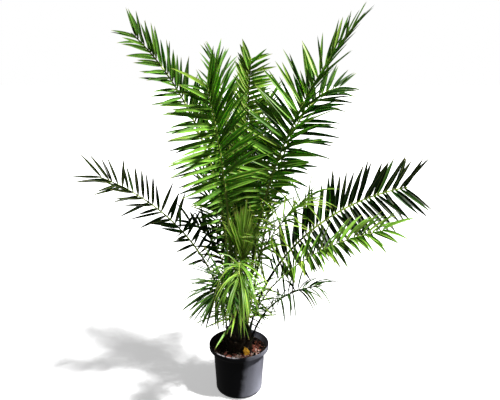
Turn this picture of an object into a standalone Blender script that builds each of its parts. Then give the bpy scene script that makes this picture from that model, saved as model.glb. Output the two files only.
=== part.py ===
"""A potted canary island date palm, built at its real size in metres, +Z up.

The origin is the centre of the pot's flat underside. Headings are degrees seen from above: 0 points
along +X, 90 along +Y, and the front of the plant faces -Y. Every frond is one tapering rib with its
leaflets drawn out of the rib's side faces.
"""

import math
from typing import NamedTuple

import bmesh
import bpy
import numpy as np
from mathutils import Vector
from mathutils.bvhtree import BVHTree

GAP = 0.0004  # between touching solids

# The pot: a blow-moulded nursery container
POT_HEIGHT = 0.237
RIM_RADIUS = 0.140
RIM_BAND = 0.034  # height of the collar that hangs from the rim
NECK_RADIUS = 0.118  # outside, just under the collar
FOOT_RADIUS = 0.109  # outside, where the bottom edge begins to round
FOOT_ROUND = 0.020
WALL = 0.0032
COLLAR_FOOT = POT_HEIGHT - RIM_BAND
SHOULDER = COLLAR_FOOT - 0.008  # height where the inside begins to open out
COLLAR_INSIDE = (RIM_RADIUS - 0.012, COLLAR_FOOT + 0.010)  # radius and height where it ends
COLLAR_UNDERSIDE = (  # radius, and height above COLLAR_FOOT, from the flank outwards
    (NECK_RADIUS, -0.012),
    (NECK_RADIUS + 0.004, -0.004),
    (RIM_RADIUS - 0.008, 0.004),
    (RIM_RADIUS - 0.001, 0.013),
)
INNER_FOOT = 0.014  # how far inside the flank the floor's flat begins
POT_SIDES = 40

# The root ball: potting soil that fills the pot to just under the rim
SOIL_TOP = 0.212
SOIL_EASE = 0.0010  # from the pot's flank
SOIL_CORNER = 0.0015  # more than that off the floor's corner

# The trunk: a bulb of old leaf bases
TRUNK_TOP = 0.400
TRUNK_FLARE = 0.060  # radius where it meets the soil
TRUNK_BULB = 0.055
TRUNK_TIP = 0.026
TRUNK_SIDES = 20
TRUNK_STEPS = 9
STUBS = 11  # cut leaf bases left on the bulb
STUB_LENGTH = 0.036
STUB_WIDTHS = (0.034, 0.022)  # at its foot, and at its cut end
STUB_DEPTHS = (0.010, 0.009)
STUB_SUNK = 0.012  # how deep its foot stands in the bulb
STUB_LEAN = 0.014  # how far its end leans out
STUB_SLANT = 0.006  # how much lower the outer edge of its cut is
STUBS_START = 0.220  # heights where the lowest and the highest leave the bulb
STUBS_TOP = 0.236
STUB_TURN = 137.5  # degrees from each to the next
STUB_CLEARS = 28  # degrees each side of a low frond's foot that carry no stub

# The chips of bark on the soil, in the front and the right of the pot
CHIPS = 12
CHIP_LENGTH = 0.026
CHIP_THICK = 0.0065
CHIP_LENGTHS = (0.7, 0.92)  # shares of CHIP_LENGTH
CHIP_HEADINGS = (-140, 30)
CHIP_REACH = (0.072, 0.098)
CHIP_OUTLINE = ((-0.5, 0.16), (-0.34, -0.24), (0.38, -0.27), (0.5, 0.1), (0.1, 0.27))
CHIP_TOP = (0.86, 0.80)  # its upper face, as a share of its outline's length and width

# A frond's rib, and the leaflets along it
FOOT_WIDTH = 0.0160  # of the rib, across
FOOT_DEPTH = 0.0105
TIP_SHARE = 0.42  # of those, left at the tip
SLENDER = (0.55, 0.30)  # a rib's thickness: a fixed share, and a share for each metre of its length
LEAFLET_FOOT = 0.0105  # of the rib that one leaflet grows from
LEAFLET_WIDTH = 0.0185
LEAFLET_THICK = 0.0026
WIDEST_AT = 0.36  # of a leaflet's length
END_LEAFLET = (0.85, 0.40, 0.012, 0.0026)  # length over the tip's leaflets, widest at, width, thickness
TRIMS = (1.0, 0.82, 0.64, 0.46)  # shares of its length that a crowded leaflet is tried at
CLEAR = 0.0008  # round every leaflet
OFF_RIB = 0.07  # share of the way to its widest that is its own foot, and so is not tried
SPLIT_BEND = 85  # a rib that turns more degrees than this is two solids, split at the bend
SPLIT_AT = 0.45  # of the leafy part of the rib
SEED = 7
RING = ((1, 1), (1, -1), (-1, -1), (-1, 1))  # the four corners of a rib's section


class Frond(NamedTuple):
    """One frond. Angles are in degrees and lengths in metres."""

    name: str
    heading: float  # which way it leaves the trunk
    rise: float  # above level, at its foot
    tip_rise: float  # above level, at its tip
    bend: float  # 1 turns evenly from one to the other, more turns late, less turns early
    length: float  # along the rib
    foot: float  # height of its foot on the trunk
    leaflet: tuple = (0.20, 0.14)  # the longest leaflets, and those at the tip
    spread: tuple = (66, 24)  # of a leaflet from the rib, where the leaflets begin and at the tip
    roll: tuple = (0, 0)  # twist of the blade about the rib, where the leaflets begin and at the tip
    lift: float = 28  # of a leaflet out of the plane of the blade, towards its upper side
    hang: float = 0.12  # how far its weight pulls a leaflet's tip down, as a share of its length
    bare: float = 0.26  # share of the rib that carries no leaflets
    pitch: float = 0.043  # between leaflets, along the rib
    skew: tuple = (0, 0)  # by how much more its first side's leaflets open, and the other side's less
    closes: float = 1.7  # above 1 the spread narrows late along the blade, below 1 early


FRONDS = (
    # the tall outer fronds, seen from the front
    Frond("centre_left", heading=227, rise=90, tip_rise=73, bend=1.5, length=1.10, foot=0.340,
          leaflet=(0.25, 0.19), spread=(80, 34), roll=(130, 130), hang=0.06, bare=0.52, pitch=0.030,
          skew=(-15, -15)),
    Frond("right_high", heading=356, rise=89, tip_rise=51, bend=1.2, length=1.42, foot=0.340,
          leaflet=(0.26, 0.12), spread=(88, 14), roll=(-80, -5), hang=0.05, bare=0.40, pitch=0.036,
          skew=(-12, -12), closes=0.9),
    Frond("right_second", heading=20, rise=79, tip_rise=5, bend=5.0, length=1.22, foot=0.340,
          leaflet=(0.24, 0.11), spread=(78, 30), roll=(-50, -50), bare=0.48, pitch=0.032),
    Frond("left_high", heading=168, rise=90, tip_rise=42, bend=1.7, length=1.40, foot=0.340,
          leaflet=(0.18, 0.135), spread=(66, 48), roll=(80, 45), lift=42, hang=0.05, pitch=0.034,
          skew=(-17, -17)),
    # the low ones at the sides
    Frond("left_low", heading=176, rise=90, tip_rise=19, bend=0.9, length=0.99, foot=0.288,
          leaflet=(0.15, 0.14), spread=(70, 40), roll=(35, 60), hang=0, bare=0.30, pitch=0.046),
    Frond("right_low", heading=4, rise=83, tip_rise=9, bend=0.9, length=1.04, foot=0.300,
          leaflet=(0.21, 0.18), spread=(82, 54), roll=(-50, -70), lift=20, hang=0, bare=0.30,
          pitch=0.036, skew=(30, 6), closes=1.0),
    Frond("right_front", heading=328, rise=87, tip_rise=20, bend=0.6, length=0.90, foot=0.295,
          leaflet=(0.15, 0.13), spread=(62, 26), roll=(-30, -45), lift=20, hang=0.25, bare=0.40,
          pitch=0.036),
    # the heart of the crown
    Frond("centre", heading=75, rise=86, tip_rise=76, bend=1.0, length=1.17, foot=0.378,
          leaflet=(0.145, 0.115), spread=(62, 48), lift=12, hang=0, pitch=0.020, skew=(22, 22)),
    Frond("front_young", heading=292, rise=88, tip_rise=84, bend=1.0, length=0.37, foot=0.378,
          leaflet=(0.22, 0.22), spread=(24, 2), roll=(180, 180), lift=10, hang=0, bare=0.76,
          pitch=0.015),
    Frond("front_drooping", heading=272, rise=88, tip_rise=-62, bend=2.4, length=0.62, foot=0.325,
          leaflet=(0.26, 0.21), spread=(62, 12), lift=10, hang=1.1, bare=0.70, pitch=0.024,
          skew=(14, 14)),
    Frond("right_inner", heading=334, rise=87, tip_rise=40, bend=1.0, length=0.70, foot=0.378,
          leaflet=(0.17, 0.14), roll=(-40, -40), lift=10, hang=0.3, bare=0.30, pitch=0.017),
    Frond("left_inner", heading=146, rise=87, tip_rise=5, bend=2.0, length=0.55, foot=0.345,
          leaflet=(0.15, 0.12), roll=(20, 30), hang=0.2),
    # short old ones at the foot of the crown
    Frond("left_foot", heading=249, rise=88, tip_rise=-50, bend=1.8, length=0.40, foot=0.375,
          leaflet=(0.21, 0.16), spread=(80, 25), roll=(20, 20), hang=0.25, bare=0.58, pitch=0.018,
          skew=(20, 10)),
    Frond("right_foot", heading=350, rise=80, tip_rise=8, bend=1.0, length=0.46, foot=0.252,
          leaflet=(0.17, 0.14), spread=(85, 30), hang=0.5, bare=0.45, pitch=0.022),
    # the back of the crown
    Frond("back_high_left", heading=124, rise=86, tip_rise=66, bend=1.6, length=1.06, foot=0.345),
    Frond("back_high_right", heading=62, rise=85, tip_rise=62, bend=1.6, length=1.04, foot=0.340),
    Frond("back_tall", heading=107, rise=88, tip_rise=46, bend=1.7, length=1.24, foot=0.378),
    Frond("back_low_left", heading=116, rise=80, tip_rise=40, bend=1.1, length=0.80, foot=0.300,
          leaflet=(0.17, 0.12)),
    Frond("back_low_right", heading=64, rise=78, tip_rise=30, bend=1.1, length=0.84, foot=0.300,
          leaflet=(0.17, 0.12)),
    Frond("back_low", heading=88, rise=78, tip_rise=12, bend=1.1, length=0.92, foot=0.300,
          leaflet=(0.18, 0.13)),
)


def clear_scene():
    for obj in list(bpy.data.objects):
        bpy.data.objects.remove(obj, do_unlink=True)


def material(name, colour, roughness):
    """A Principled BSDF of one colour."""
    made = bpy.data.materials.new(name)
    made.use_nodes = True
    shader = made.node_tree.nodes["Principled BSDF"]
    shader.inputs["Base Color"].default_value = (*colour, 1)
    shader.inputs["Roughness"].default_value = roughness
    shader.inputs["Metallic"].default_value = 0
    return made


def object_of(name, points, faces, finish, smooth_below=30):
    """A mesh object from points and faces, with its faces turned outwards."""
    mesh = bpy.data.meshes.new(name)
    mesh.from_pydata([tuple(p) for p in points], [], faces)
    shell = bmesh.new()
    shell.from_mesh(mesh)
    bmesh.ops.recalc_face_normals(shell, faces=shell.faces)
    shell.to_mesh(mesh)
    shell.free()
    mesh.shade_smooth()
    mesh.set_sharp_from_angle(angle=math.radians(smooth_below))
    mesh.materials.append(finish)
    made = bpy.data.objects.new(name, mesh)
    bpy.context.scene.collection.objects.link(made)
    return made


def turned(name, profile, sides, finish):
    """A closed solid of revolution: profile is (radius, height) from one point on the axis to another."""
    rings = [p for p in profile if p[0] > 0]
    angles = [2 * math.pi * k / sides for k in range(sides)]
    points = [(r * math.cos(a), r * math.sin(a), z) for r, z in rings for a in angles]
    first, last = len(points), len(points) + 1
    points += [(0, 0, profile[0][1]), (0, 0, profile[-1][1])]
    faces = []
    for k in range(sides):
        n = (k + 1) % sides
        for row in range(len(rings) - 1):
            low, high = row * sides, (row + 1) * sides
            faces.append((low + k, low + n, high + n, high + k))
        top = (len(rings) - 1) * sides
        faces.append((first, n, k))
        faces.append((last, top + k, top + n))
    return object_of(name, points, faces, finish)


def arc(centre, radius, start, end, steps):
    """Points (radius, height) on a round stretch of a profile, with its angles in degrees."""
    turns = [math.radians(start + (end - start) * k / steps) for k in range(steps + 1)]
    return [(centre[0] + radius * math.cos(a), centre[1] + radius * math.sin(a)) for a in turns]


def inner_radius(height):
    """The pot's inside radius: along its flank, and above SHOULDER where it opens out into the collar."""
    share = (min(height, SHOULDER) - FOOT_ROUND) / (COLLAR_FOOT - FOOT_ROUND)
    flank = FOOT_RADIUS + (NECK_RADIUS - FOOT_RADIUS) * share - WALL
    opened = max(0, (height - SHOULDER) / (COLLAR_INSIDE[1] - SHOULDER))
    return flank + (COLLAR_INSIDE[0] - flank) * opened


def build_pot(finish):
    """The pot in one wall: flat underside, rounded foot, straight flank, and the collar round the rim."""
    lip = WALL / 2
    outside = [(0, 0)]
    outside += arc((FOOT_RADIUS - FOOT_ROUND, FOOT_ROUND), FOOT_ROUND, -90, 0, 4)
    outside += [(radius, COLLAR_FOOT + height) for radius, height in COLLAR_UNDERSIDE]
    outside += arc((RIM_RADIUS - lip, POT_HEIGHT - lip), lip, 0, 180, 4)
    inside = [COLLAR_INSIDE]
    inside += [(inner_radius(height), height) for height in (SHOULDER, FOOT_ROUND)]
    inside += [(inner_radius(FOOT_ROUND) - INNER_FOOT, WALL), (0, WALL)]
    return turned("pot", outside + inside, POT_SIDES, finish)


def build_root_ball(finish):
    """The soil, a hair smaller than the pot's inside."""
    floor = WALL + GAP
    profile = [(0, floor), (inner_radius(FOOT_ROUND) - INNER_FOOT - SOIL_CORNER, floor)]
    profile += [(inner_radius(height) - SOIL_EASE, height) for height in (FOOT_ROUND, SHOULDER, SOIL_TOP)]
    profile += [(0, SOIL_TOP)]
    return turned("root_ball", profile, POT_SIDES, finish)


def trunk_radius(height):
    """The bulb: a flare at the soil, a waist, its widest third, and then a cosine taper to the tip."""
    share = (height - SOIL_TOP) / (TRUNK_TOP - SOIL_TOP)
    flare = (TRUNK_FLARE - TRUNK_BULB) * math.exp(-share / 0.10)
    taper = 0.5 + 0.5 * math.cos(math.pi * min(1, max(0, (share - 0.25) / 0.75)))
    return TRUNK_TIP + (TRUNK_BULB - TRUNK_TIP) * taper + flare


def build_trunk(finish):
    """The bulb with its ring of cut leaf bases, joined in one Boolean union."""
    rise = (TRUNK_TOP - SOIL_TOP) / TRUNK_STEPS
    heights = [SOIL_TOP + GAP + rise * k for k in range(TRUNK_STEPS + 1)]
    profile = [(0, heights[0])] + [(trunk_radius(h), h) for h in heights] + [(0, heights[-1])]
    trunk = turned("trunk", profile, TRUNK_SIDES, finish)
    stubs = bpy.data.collections.new("stubs")
    bpy.context.scene.collection.children.link(stubs)
    low_feet = [frond.heading for frond in FRONDS if frond.foot < STUB_LENGTH + STUBS_TOP]
    for k in range(STUBS):
        turn = k * STUB_TURN
        if any(abs((turn - foot + 180) % 360 - 180) < STUB_CLEARS for foot in low_feet):
            continue
        height = STUBS_START + (STUBS_TOP - STUBS_START) * k / (STUBS - 1)
        stub = leaf_base(f"stub_{k}", math.radians(turn), height, finish)
        bpy.context.scene.collection.objects.unlink(stub)
        stubs.objects.link(stub)
    join = trunk.modifiers.new("stubs", "BOOLEAN")
    join.operation, join.operand_type, join.solver = "UNION", "COLLECTION", "MANIFOLD"
    join.collection = stubs
    apply_modifiers(trunk)
    for stub in list(stubs.objects):
        bpy.data.objects.remove(stub, do_unlink=True)
    bpy.data.collections.remove(stubs)
    return trunk


def leaf_base(name, turn, height, finish):
    """One cut leaf base: a wedge that rises out of the bulb and ends in a slanted cut."""
    out = Vector((math.cos(turn), math.sin(turn), 0))
    across = Vector((-math.sin(turn), math.cos(turn), 0))
    up = Vector((0, 0, 1))
    root = out * (trunk_radius(height) - STUB_SUNK) + up * height
    head = root + up * STUB_LENGTH + out * STUB_LEAN
    points = []
    for centre, wide, deep, slant in zip((root, head), STUB_WIDTHS, STUB_DEPTHS, (0, STUB_SLANT)):
        for side, outer in ((-1, 0), (1, 0), (1, 1), (-1, 1)):
            points.append(centre + across * side * wide / 2 + (out * deep - up * slant) * outer)
    faces = [(0, 1, 2, 3), (4, 5, 6, 7), (0, 1, 5, 4), (1, 2, 6, 5), (2, 3, 7, 6), (3, 0, 4, 7)]
    return object_of(name, points, faces, finish)


def apply_modifiers(obj):
    graph = bpy.context.evaluated_depsgraph_get()
    mesh = bpy.data.meshes.new_from_object(obj.evaluated_get(graph))
    obj.modifiers.clear()
    obj.data = mesh


def build_chips(finish, dice):
    """Flat chips of bark on the soil, each lying clear of the others."""
    placed = []
    while len(placed) < CHIPS:
        turn, reach = math.radians(dice.uniform(*CHIP_HEADINGS)), dice.uniform(*CHIP_REACH)
        spot = np.array((math.cos(turn), math.sin(turn))) * reach
        if any(np.linalg.norm(spot - other) < CHIP_LENGTH * 0.98 for other in placed):
            continue
        placed.append(spot)
        yaw, length = dice.uniform(0, 2 * math.pi), CHIP_LENGTH * dice.uniform(*CHIP_LENGTHS)
        along = np.array((math.cos(yaw), math.sin(yaw)))
        side = np.array((-along[1], along[0]))
        points = []
        for long, broad, height in ((1, 1, GAP), (*CHIP_TOP, CHIP_THICK)):
            for a, b in CHIP_OUTLINE:
                corner = spot + (along * a * long + side * b * broad) * length
                points.append((*corner, SOIL_TOP + height))
        n = len(CHIP_OUTLINE)
        faces = [tuple(range(n)), tuple(range(n, 2 * n))]
        faces += [(k, (k + 1) % n, n + (k + 1) % n, n + k) for k in range(n)]
        object_of(f"bark_chip_{len(placed):02d}", points, faces, finish)


class Rib:
    """A frond's rib: where it runs, and which way its blade faces."""

    def __init__(self, frond):
        steps = 120
        self.frond = frond
        share = (np.arange(steps) + 0.5) / steps
        rise = np.radians(frond.rise + (frond.tip_rise - frond.rise) * share**frond.bend)
        heading = math.radians(frond.heading)
        level = np.cos(rise)
        step = np.stack([level * math.cos(heading), level * math.sin(heading), np.sin(rise)], 1)
        self.across = np.array((math.sin(heading), -math.cos(heading), 0))
        reach = trunk_radius(frond.foot) + self.size(0)[1] + GAP
        foot = np.array((reach * math.cos(heading), reach * math.sin(heading), frond.foot))
        self.points = np.vstack([foot, foot + np.cumsum(step * frond.length / steps, axis=0)])
        self.shares = np.linspace(0, 1, steps + 1)

    def at(self, share):
        """(point, along, across, above) at a share of the rib's length; the last three are unit vectors."""
        point = np.array([np.interp(share, self.shares, self.points[:, k]) for k in range(3)])
        near = np.clip([share - 0.01, share + 0.01], 0, 1)
        ends = [[np.interp(s, self.shares, self.points[:, k]) for k in range(3)] for s in near]
        along = unit(np.subtract(ends[1], ends[0]))
        above = np.cross(self.across, along)
        ramp = min(1, share / self.frond.bare)
        blade = max(0, (share - self.frond.bare) / (1 - self.frond.bare))
        begins, ends_at = self.frond.roll
        roll = math.radians(begins * ramp * ramp * (3 - 2 * ramp) + (ends_at - begins) * blade)
        rolled = self.across * math.cos(roll) + above * math.sin(roll)
        return point, along, rolled, np.cross(rolled, along)

    def size(self, share):
        """(half width, half depth) of the rib: broad at the foot, then tapering, and thinner if short."""
        left = TIP_SHARE + (1 - TIP_SHARE) * (1 - share) ** 1.4
        left *= SLENDER[0] + SLENDER[1] * self.frond.length
        return FOOT_WIDTH / 2 * left, FOOT_DEPTH / 2 * left

    def ring(self, share):
        point, _, across, above = self.at(share)
        wide, deep = self.size(share)
        return [point + across * a * wide + above * b * deep for a, b in RING]


def unit(vector):
    return np.asarray(vector) / np.linalg.norm(vector)


def leaflet_length(frond, place):
    """Short spines where the blade begins, full length from a third on, and shorter again to the tip."""
    longest, last = frond.leaflet
    young = 0.30 + 0.70 * math.sin(math.pi / 2 * min(1, place / 0.32))
    return young * (longest + (last - longest) * max(0, (place - 0.4) / 0.6) ** 1.5)


def leaflet_points(rib, share, place, side, trim):
    """A leaflet on one side (1 or -1) of the rib: the four points of its widest section, and its tip."""
    frond = rib.frond
    point, along, across, above = rib.at(share)
    length = leaflet_length(frond, place) * trim
    begins, ends_at = frond.spread
    uneven = frond.skew[0] + (frond.skew[1] - frond.skew[0]) * place
    opening = math.radians(begins + (ends_at - begins) * place**frond.closes + uneven * side)
    lift = math.radians(frond.lift)
    aside = across * side * math.cos(lift) + above * math.sin(lift)
    reach = along * math.cos(opening) + aside * math.sin(opening)
    down = np.array((0, 0, -frond.hang))
    width = unit(along - reach * np.dot(along, reach))
    normal = np.cross(width, reach)
    wide = LEAFLET_WIDTH / 2 * (0.6 + 0.4 * length / frond.leaflet[0])
    thick = LEAFLET_THICK / 2
    root = point + across * side * rib.size(share)[0]
    middle = root + unit(reach + down * WIDEST_AT) * length * WIDEST_AT
    if np.dot(normal, above) < 0:
        normal = -normal
    belt = [middle - width * wide + normal * thick, middle - width * wide - normal * thick]
    belt += [middle + width * wide - normal * thick, middle + width * wide + normal * thick]
    return belt, root + unit(reach + down) * length


def blade_faces(foot, belt, tip):
    """The faces that draw a leaflet out of one side face of the rib: four flanks, then four to the tip."""
    faces = [(foot[k], foot[(k + 1) % 4], belt[(k + 1) % 4], belt[k]) for k in range(4)]
    return faces + [(belt[k], belt[(k + 1) % 4], tip) for k in range(4)]


class Blades:
    """The leaflets already grown, which every new one keeps clear of."""

    def __init__(self):
        self.trees = []

    def add(self, points, faces):
        self.trees.append(BVHTree.FromPolygons([tuple(p) for p in points], faces))

    def touch(self, foot, belt, tip):
        """True if a leaflet, made CLEAR bigger all round, meets anything here."""
        middle, root = sum(belt) / 4, sum(foot) / 4
        grown = [p + unit(p - middle) * CLEAR for p in belt]
        start = [p + (middle - root) * OFF_RIB + unit(p - root) * CLEAR for p in foot]
        end = tip + unit(tip - middle) * CLEAR
        points = [tuple(p) for p in [*start, *grown, end]]
        tree = BVHTree.FromPolygons(points, blade_faces((0, 1, 2, 3), (4, 5, 6, 7), 8))
        return any(tree.overlap(other) for other in self.trees)


def stations(frond, start, end):
    """Shares of the rib that have a ring, each with the place of the leaflets between it and the next."""
    petiole = [(share, None) for share in np.linspace(0, frond.bare, 4)[:-1]]
    blade = frond.length * (1 - frond.bare)
    rows = max(4, round(blade / frond.pitch))
    foot = LEAFLET_FOOT / frond.length
    found = list(petiole)
    for row in range(rows):
        share = frond.bare + (1 - frond.bare) * (row + 0.4) / rows
        found += [(share, row / (rows - 1)), (share + foot, None)]
    return [(s, place) for s, place in found if start <= s <= end - 2 * foot]


def tube(rib, found, end):
    """(points, faces, side faces that carry leaflets) of a rib. Its own tip runs out in a leaflet."""
    points = [p for share, _ in found for p in rib.ring(share)] + rib.ring(end)
    faces = [(3, 2, 1, 0)]
    sides = {}
    for k, (share, place) in enumerate(found):
        low, high = 4 * k, 4 * k + 4
        for edge in range(4):
            following = (edge + 1) % 4
            face = (low + edge, low + following, high + following, high + edge)
            if place is not None and edge in (0, 2):
                sides[(share, place, 1 if edge == 0 else -1)] = face
            else:
                faces.append(face)
    last = 4 * len(found)
    cap = (last, last + 1, last + 2, last + 3)
    if end < 1:
        return points, [*faces, cap], sides
    point, along, across, above = rib.at(1)
    longer, widest_at, wide, thick = END_LEAFLET
    length = rib.frond.leaflet[1] * longer
    middle = point + along * length * widest_at
    belt = [middle + across * a * wide / 2 + above * b * thick / 2 for a, b in RING]
    points += [*belt, point + along * length]
    faces += blade_faces(cap, (last + 4, last + 5, last + 6, last + 7), last + 8)
    return points, faces, sides


def grow_frond(rib, name, start, end, others, finish):
    """One solid: the rib from start to end, with every leaflet that keeps clear of what is there already."""
    found = stations(rib.frond, start, end)
    points, faces, sides = tube(rib, found, end)
    grown = Blades()
    for (share, place, side), face in sides.items():
        foot = [points[k] for k in face]
        for trim in TRIMS:
            belt, tip = leaflet_points(rib, share, place, side, trim)
            # A side face runs round its four corners: two on the near ring, two on the far one.
            belt = [belt[k] for k in ((0, 1, 2, 3) if side == 1 else (1, 0, 3, 2))]
            if others.touch(foot, belt, tip) or grown.touch(foot, belt, tip):
                continue
            n = len(points)
            points += [*belt, tip]
            blade = blade_faces(face, (n, n + 1, n + 2, n + 3), n + 4)
            faces += blade
            grown.add(points, blade)
            break
        else:
            faces.append(face)
    object_of("frond_" + name, points, faces, finish, 40)
    return points, faces


def triangles_of(obj):
    graph = bpy.context.evaluated_depsgraph_get()
    return BVHTree.FromObject(obj, graph)


def build_fronds(finish, solids):
    """Every frond in turn. A leaflet keeps clear of the solids, the ribs and the leaflets before it."""
    ribs = [Rib(frond) for frond in FRONDS]
    leaflets = Blades()
    leaflets.trees += [triangles_of(obj) for obj in solids]
    tubes = {}
    for rib in ribs:
        found = stations(rib.frond, 0, 1)
        points, faces, sides = tube(rib, found, 1)
        tubes[rib] = BVHTree.FromPolygons([tuple(p) for p in points], faces + list(sides.values()))
    for rib in ribs:
        frond = rib.frond
        others = Blades()
        others.trees = leaflets.trees + [tree for other, tree in tubes.items() if other is not rib]
        spans = [(frond.name, 0, 1)]
        if frond.rise - frond.tip_rise > SPLIT_BEND:
            split = frond.bare + (1 - frond.bare) * SPLIT_AT
            upper = split + GAP / frond.length
            spans = [(frond.name + "_lower", 0, split), (frond.name + "_upper", upper, 1)]
        for name, start, end in spans:
            points, faces = grow_frond(rib, name, start, end, others, finish)
            leaflets.add(points, faces)


def main():
    clear_scene()
    dice = np.random.default_rng(SEED)
    plastic = material("black_plastic", (0.020, 0.020, 0.024), 0.42)
    soil = material("potting_soil", (0.030, 0.019, 0.012), 0.95)
    bark = material("leaf_bases", (0.085, 0.055, 0.030), 0.85)
    chip = material("bark_chips", (0.26, 0.10, 0.045), 0.80)
    green = material("palm_green", (0.065, 0.17, 0.030), 0.45)
    pot = build_pot(plastic)
    root_ball = build_root_ball(soil)
    trunk = build_trunk(bark)
    build_chips(chip, dice)
    build_fronds(green, [pot, root_ball, trunk])


main()
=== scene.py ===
import math
from typing import NamedTuple

import bpy
import numpy as np
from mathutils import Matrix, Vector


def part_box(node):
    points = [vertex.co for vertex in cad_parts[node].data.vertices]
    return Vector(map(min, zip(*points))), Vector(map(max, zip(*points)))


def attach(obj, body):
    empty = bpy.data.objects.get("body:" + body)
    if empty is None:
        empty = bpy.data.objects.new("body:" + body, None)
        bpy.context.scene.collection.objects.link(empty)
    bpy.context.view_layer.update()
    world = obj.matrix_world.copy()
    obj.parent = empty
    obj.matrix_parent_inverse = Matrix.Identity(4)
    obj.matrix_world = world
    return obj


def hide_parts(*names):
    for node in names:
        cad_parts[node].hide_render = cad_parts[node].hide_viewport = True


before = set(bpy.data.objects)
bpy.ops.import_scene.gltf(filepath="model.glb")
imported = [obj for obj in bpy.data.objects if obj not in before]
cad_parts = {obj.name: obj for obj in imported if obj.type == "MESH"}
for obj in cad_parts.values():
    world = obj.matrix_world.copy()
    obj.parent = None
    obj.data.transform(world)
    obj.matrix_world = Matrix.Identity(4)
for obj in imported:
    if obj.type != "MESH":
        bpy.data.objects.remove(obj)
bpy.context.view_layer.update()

# ------------------------------------------------------------------------------------------------
# The pot: a round nursery pot of black polyethylene, blow-moulded in two halves, so it has one wall,
# a parting line up each side and drain holes pressed into its foot. The collar is turned out and
# down round the rim, and is what a hand lifts it by.

RIM_RADIUS, POT_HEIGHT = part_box("pot")[1][0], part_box("pot")[1][2]
COLLAR_FOOT = POT_HEIGHT - 0.034
NECK_RADIUS = 0.118
FOOT_RADIUS, FOOT_ROUND = 0.109, 0.020
WALL = 0.0032
PARTING_LINE = (0.0012, 0.0006)  # half width and height
DRAIN_HOLES, DRAIN_SIZE, DRAIN_DEPTH = 8, (0.009, 0.007), 0.004
DRAIN_HEIGHT, DRAIN_TOP = 0.010, 0.030
FLOOR_RADIUS = 0.030  # of the flat disc that closes the pot's floor, above and below
HOLLOW_RADIUS, COLLAR_WALL = 0.024, 0.012
POT_COLUMNS, INSIDE_ROWS = 168, 12


def arc(centre, radius, start, end, steps):
    """A round stretch of a profile: centre + radius * (cos, sin) of evenly spaced angles in degrees."""
    turn = np.radians(np.linspace(start, end, steps + 1))
    return np.stack([centre[0] + radius * np.cos(turn), centre[1] + radius * np.sin(turn)], axis=1)


def swept(centres, sides, ups, ring, relief=0.0, starts=None, ends=None, chance=None):
    """Closed tubes: a point is centre + side * x + up * y, for each (x, y) of the ring at each station.

    centres, sides and ups are (tubes, stations, 3), and ring is (points, 2) with any leading axes. The
    ring runs anticlockwise seen from where the path leads. relief moves each point away from its
    centre, in metres. Each end closes in a fan to its pole. Returns points, quads, triangles, and for
    each point its place across and along the surface in metres, its share along, and its tube's chance.
    """
    centres, sides, ups = (np.asarray(given, float) for given in (centres, sides, ups))
    tubes, stations = centres.shape[:2]
    ring = np.broadcast_to(ring, (tubes, stations) + np.shape(ring)[-2:])
    corners = ring.shape[2]
    points = centres[:, :, None] + sides[:, :, None] * ring[..., :1] + ups[:, :, None] * ring[..., 1:]
    outwards = points - centres[:, :, None]
    outwards /= np.maximum(np.linalg.norm(outwards, axis=-1, keepdims=True), 1e-9)
    points = points + outwards * np.broadcast_to(relief, points.shape[:3])[..., None]
    starts = centres[:, 0] if starts is None else starts
    ends = centres[:, -1] if ends is None else ends
    run = np.linalg.norm(np.diff(centres, axis=1), axis=-1).cumsum(axis=1)
    run = np.concatenate([np.zeros((tubes, 1)), run], axis=1)
    across = ring[..., 0] * np.linalg.norm(sides, axis=-1)[..., None]
    along = np.broadcast_to(run[..., None], across.shape)
    share = np.broadcast_to(np.linspace(0, 1, stations)[None, :, None], across.shape)
    chance = np.full(tubes, 0.5) if chance is None else chance

    def with_poles(body, first, last):
        return np.concatenate([body.reshape(tubes, stations * corners, -1), first, last], axis=1)

    none, one = np.zeros((tubes, 1, 1)), np.ones((tubes, 1, 1))
    points = with_poles(points, starts[:, None], ends[:, None])
    tip = np.linalg.norm(ends - centres[:, -1], axis=-1)[:, None, None]
    uv = np.concatenate(
        [with_poles(across, none, none), with_poles(along, none, run[:, -1:, None] + tip)], axis=2
    )
    marks = np.concatenate(
        [with_poles(share, none, one), np.broadcast_to(chance[:, None, None], points[..., :1].shape)],
        axis=2,
    )
    row, corner = np.arange(stations - 1)[:, None] * corners, np.arange(corners)[None]
    following = (corner + 1) % corners
    quads = np.stack([row + corner, row + following, row + following + corners, row + corner + corners], -1)
    last = (stations - 1) * corners
    pole = np.full(corners, stations * corners)
    corner, following = corner[0], following[0]
    first_fan = np.stack([following, corner, pole], -1)
    last_fan = np.stack([last + corner, last + following, pole + 1], -1)
    offsets = np.arange(tubes)[:, None, None] * (stations * corners + 2)
    quads = (quads.reshape(1, -1, 4) + offsets).reshape(-1, 4)
    triangles = (np.concatenate([first_fan, last_fan])[None] + offsets).reshape(-1, 3)
    return points.reshape(-1, 3), quads, triangles, uv.reshape(-1, 2), marks.reshape(-1, 2)


def all_round(count):
    """This many evenly spaced angles of a full turn."""
    return np.linspace(0, 2 * np.pi, count, endpoint=False)


def circle(turns):
    """A ring of radius 1 at these angles."""
    return np.stack([np.cos(turns), np.sin(turns)], axis=-1)


def turned(profile, ring, relief=0.0):
    """A closed surface of revolution: profile is (radius, height) along the surface, from pole to pole."""
    radius, height = np.asarray(profile).T
    nothing = np.zeros_like(radius)
    centres = np.stack([nothing, nothing, height], axis=-1)[None]
    sides = np.stack([radius, nothing, nothing], axis=-1)[None]
    ups = np.stack([nothing, radius, nothing], axis=-1)[None]
    return swept(centres, sides, ups, ring, relief)


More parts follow.
